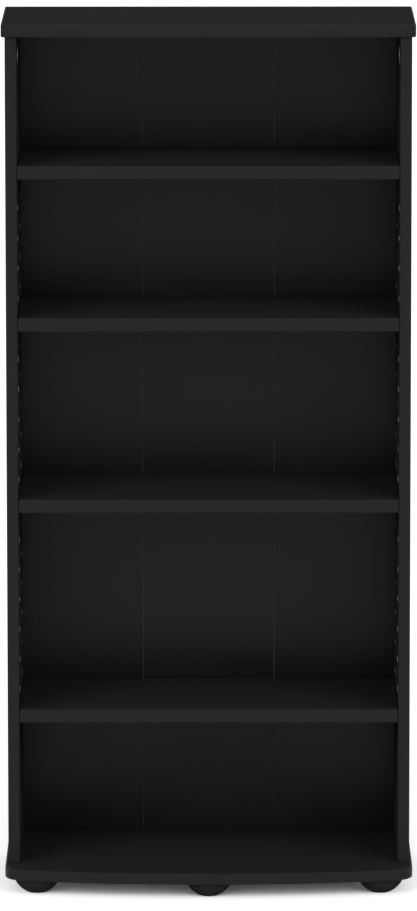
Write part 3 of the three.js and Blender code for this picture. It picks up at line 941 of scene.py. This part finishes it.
def screw_template(head, head_height, shank, length, sunk):
    """A screw that points along -Z, its head's face at z = 0, and under it a cone if it is sunk."""
    tip_start = length - SCREW_TIP_RATIO * shank
    root = SCREW_ROOT_RATIO * shank
    under = shank if sunk else head
    mesh = bmesh.new()
    rows = [(0, 0), (head - SCREW_HEAD_EDGE, 0), (head, -SCREW_HEAD_EDGE),
            (under, -head_height), (shank, -head_height)]
    rows += [(radius, -head_height - height)
             for radius, height in thread(shank, root, SCREW_PLAIN_LENGTH, tip_start)]
    rows.append((0, -head_height - length))
    add_turned(mesh, rows, MEDIUM, LYING)
    piece = as_object("screw", mesh, [NICKEL])
    length_ratio, width_ratio, depth_ratio = SCREW_CROSS_RATIOS
    cut_cross(piece, length_ratio * head, width_ratio * head, depth_ratio * head_height, NICKEL)
    return as_template(piece)


def dowel_template():
    """A fluted dowel, its lower end at z = 0."""
    def fluted(angle):
        return DOWEL_RADIUS - DOWEL_FLUTE_DEPTH * (0.5 - 0.5 * math.cos(DOWEL_FLUTES * angle)) ** 2

    mesh = bmesh.new()
    end_radius = DOWEL_RADIUS - DOWEL_CHAMFER
    add_turned(mesh, [
        (0, 0), (end_radius, 0), (fluted, DOWEL_CHAMFER), (fluted, DOWEL_LENGTH - DOWEL_CHAMFER),
        (end_radius, DOWEL_LENGTH), (0, DOWEL_LENGTH),
    ], DOWEL_FLUTE_FACETS * DOWEL_FLUTES, LYING)
    return as_template(as_object("dowel", mesh, [BEECH]))


def pin_template():
    """A shelf pin that points along +X, its plug's axis at z = 0 and the side panel's face at x = 0."""
    groove_radius = PIN_PLUG_RADIUS - PIN_GROOVE
    plug_end = -PIN_PLUG_LENGTH
    rows = [(0, plug_end), (PIN_TIP_RATIO * PIN_PLUG_RADIUS, plug_end),
            (groove_radius, plug_end + PIN_TIP_LENGTH)]
    for ridge in range(PIN_RIDGES):
        start = plug_end + PIN_FIRST_RIDGE + PIN_RIDGE_PITCH * ridge
        rows += [(groove_radius, start), (PIN_PLUG_RADIUS, start + PIN_RIDGE_RISE),
                 (PIN_PLUG_RADIUS, start + PIN_RIDGE_LENGTH)]
    flange_end = PIN_STANDOFF + PIN_FLANGE_THICKNESS
    rows += [(groove_radius, flange_end - PIN_GROOVE), (0, flange_end - PIN_GROOVE)]
    plug = bmesh.new()
    add_turned(plug, rows, COARSE, SIDEWAYS)
    piece = as_object("pin", plug, [PLASTIC])
    flange = bmesh.new()
    half = PIN_FLANGE_WIDTH / 2
    outline = rectangle((-half, -PIN_FLANGE_BELOW), (half, PIN_TOP), PIN_FLANGE_CORNER, PIN_CORNER_STEPS)
    add_slab(flange, outline, PIN_STANDOFF, flange_end, PIN_ARRIS, SIDEWAYS)
    join(piece, flange, PLASTIC)
    tongue = bmesh.new()
    half = PIN_TONGUE_WIDTH / 2
    tongue_start, tongue_end = PIN_STANDOFF + PIN_GROOVE, flange_end + PIN_TONGUE_LENGTH
    outline = rectangle((tongue_start, -half), (tongue_end, half), PIN_TONGUE_CORNER, PIN_CORNER_STEPS)
    add_slab(tongue, outline, PIN_TOP - PIN_TONGUE_THICKNESS, PIN_TOP, PIN_ARRIS, LYING)
    join(piece, tongue, PLASTIC)
    return as_template(piece)


def make_fittings():
    face_of = {"left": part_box("side_panel_left")[1].x, "right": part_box("side_panel_right")[0].x}
    top_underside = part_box("top_board")[0].z
    cam, bolt, dowel, pin = cam_template(), bolt_template(), dowel_template(), pin_template()
    for name, side in SIDES.items():
        low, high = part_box(f"cam_lock_{name}")
        center = (low + high) / 2
        upright = Matrix(((0, 0, -side, 0), (0, -side, 0, 0), (1, 0, 0, 0), (0, 0, 0, 1)))
        face = Vector((face_of[name] - side * CAM_PROUD, center.y, center.z))
        place_copy(f"cam_lock_{name}_finished", cam, Matrix.Translation(face) @ upright, f"cam_lock_{name}")
        low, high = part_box(f"cam_bolt_{name}")
        foot = Vector(((low.x + high.x) / 2, (low.y + high.y) / 2, top_underside))
        place_copy(f"cam_bolt_{name}_finished", bolt, Matrix.Translation(foot), f"cam_bolt_{name}")
        for end in ("front", "rear"):
            node = f"top_dowel_{name}_{end}"
            low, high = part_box(node)
            foot = Vector(((low.x + high.x) / 2, (low.y + high.y) / 2, low.z))
            place_copy(node + "_finished", dowel, Matrix.Translation(foot), node)
            for shelf in SHELVES:
                node = f"{shelf}_pin_{name}_{end}"
                low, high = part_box(node)
                root = Vector((face_of[name], (low.y + high.y) / 2, high.z - PIN_TOP))
                turn = Matrix.Rotation(math.pi if side > 0 else 0, 4, "Z")
                place_copy(node + "_finished", pin, Matrix.Translation(root) @ turn, node)


def make_screws():
    down = Matrix.Rotation(math.pi, 4, "X")
    templates = {
        "base_screw": screw_template(
            BASE_SCREW_HEAD, BASE_SCREW_HEAD_HEIGHT, BASE_SCREW_SHANK, BASE_SCREW_LENGTH, sunk=True),
        "foot_screw": screw_template(
            FOOT_SCREW_HEAD, FOOT_SCREW_HEAD_HEIGHT, FOOT_SCREW_SHANK, FOOT_SCREW_LENGTH, sunk=False),
    }
    for node in frame["nodes"]:
        for kind, template in templates.items():
            if node.startswith(kind):
                low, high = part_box(node)
                face = Vector(((low.x + high.x) / 2, (low.y + high.y) / 2, low.z))
                place_copy(node + "_finished", template, Matrix.Translation(face) @ down, node)


# ---------- Stage ----------

def background_share(tree):
    """1 for the rays that see the background: from the camera, and off gloss or through glass."""
    rays = tree.nodes.new("ShaderNodeLightPath")
    share = rays.outputs["Is Camera Ray"]
    for kind in ("Is Glossy Ray", "Is Transmission Ray"):
        larger = tree.nodes.new("ShaderNodeMath")
        larger.operation = "MAXIMUM"
        tree.links.new(share, larger.inputs[0])
        tree.links.new(rays.outputs[kind], larger.inputs[1])
        share = larger.outputs["Value"]
    return share


def make_world(ambient):
    """One plain light from all round, and white for the rays that see the background."""
    world = bpy.data.worlds.new("studio")
    bpy.context.scene.world = world
    world.use_nodes = True
    tree = world.node_tree
    light = tree.nodes["Background"]
    light.inputs["Color"].default_value = (1, 1, 1, 1)
    strength = tree.nodes.new("ShaderNodeMapRange")
    strength.inputs["To Min"].default_value = ambient
    tree.links.new(background_share(tree), strength.inputs["Value"])
    tree.links.new(strength.outputs["Result"], light.inputs["Strength"])


def make_floor(color, lift):
    """A pale floor, lifted to white for the rays that see the background; near the object its ambient occlusion
    takes the lift away, a painted contact shadow over the floor's real shadow.
    """
    mesh = bmesh.new()
    bmesh.ops.create_grid(mesh, x_segments=1, y_segments=1, size=FLOOR_REACH)
    material = bpy.data.materials.new("studio_floor")
    material.use_nodes = True
    tree = material.node_tree
    tree.nodes.clear()
    plain = tree.nodes.new("ShaderNodeBsdfDiffuse")
    plain.inputs["Color"].default_value = color
    glow = tree.nodes.new("ShaderNodeEmission")
    # Painted contact shadow: the white lift fades out where ambient occlusion finds the object close, so the
    # floor there is darker than the lamps alone make it
    painted_shadow_occlusion = tree.nodes.new("ShaderNodeAmbientOcclusion")
    painted_shadow_occlusion.samples = PAINTED_SHADOW_SAMPLES
    painted_shadow_occlusion.inputs["Distance"].default_value = PAINTED_SHADOW_REACH
    lift_outside_painted_shadow = tree.nodes.new("ShaderNodeMapRange")
    lift_outside_painted_shadow.inputs["From Min"].default_value = PAINTED_SHADOW_SHUT
    lift_outside_painted_shadow.inputs["From Max"].default_value = PAINTED_SHADOW_FREE
    lift_outside_painted_shadow.inputs["To Max"].default_value = lift
    tree.links.new(painted_shadow_occlusion.outputs["AO"], lift_outside_painted_shadow.inputs["Value"])
    tree.links.new(lift_outside_painted_shadow.outputs["Result"], glow.inputs["Strength"])
    both = tree.nodes.new("ShaderNodeAddShader")
    mix = tree.nodes.new("ShaderNodeMixShader")
    out = tree.nodes.new("ShaderNodeOutputMaterial")
    tree.links.new(plain.outputs["BSDF"], both.inputs[0])
    tree.links.new(glow.outputs["Emission"], both.inputs[1])
    tree.links.new(background_share(tree), mix.inputs["Fac"])
    tree.links.new(plain.outputs["BSDF"], mix.inputs[1])
    tree.links.new(both.outputs["Shader"], mix.inputs[2])
    tree.links.new(mix.outputs["Shader"], out.inputs["Surface"])
    as_object("studio_floor", mesh, [material])


def make_sun(name, direction, softness, strength):
    """Soft, even light from a direction, over the floor as far as it reaches."""
    data = bpy.data.lights.new(name, "SUN")
    data.angle = softness
    data.energy = strength
    lamp = bpy.data.objects.new(name, data)
    bpy.context.scene.collection.objects.link(lamp)
    lamp.rotation_euler = Vector(direction).to_track_quat("Z", "Y").to_euler()


def make_camera():
    forward = Vector((0, math.cos(CAMERA_ELEVATION), -math.sin(CAMERA_ELEVATION)))
    level = Vector((1, 0, 0))
    upright = level.cross(forward)
    right = math.cos(CAMERA_ROLL) * level + math.sin(CAMERA_ROLL) * upright
    up = math.cos(CAMERA_ROLL) * upright - math.sin(CAMERA_ROLL) * level
    data = bpy.data.cameras.new("camera")
    data.sensor_width = SENSOR_SIZE_MM
    data.lens = LENS_MM
    data.clip_end = 2 * FLOOR_REACH
    camera = bpy.data.objects.new("camera", data)
    bpy.context.scene.collection.objects.link(camera)
    turn = Matrix((right, up, -forward)).transposed().to_4x4()
    camera.matrix_world = Matrix.Translation(CAMERA_TARGET - CAMERA_DISTANCE * forward) @ turn
    bpy.context.scene.camera = camera


# ---------- The scene ----------

make_camera()
make_shelves()
make_sides()
make_top()
make_base()
make_back()
make_nails()
make_feet()
make_fittings()
make_screws()

make_world(AMBIENT)
make_floor(FLOOR_COLOR, FLOOR_LIFT)
for sun_name, sun_direction in SUNS.items():
    make_sun(sun_name, sun_direction, SUN_SOFTNESS, SUN_STRENGTH)
bpy.context.scene.view_settings.view_transform = "Standard"
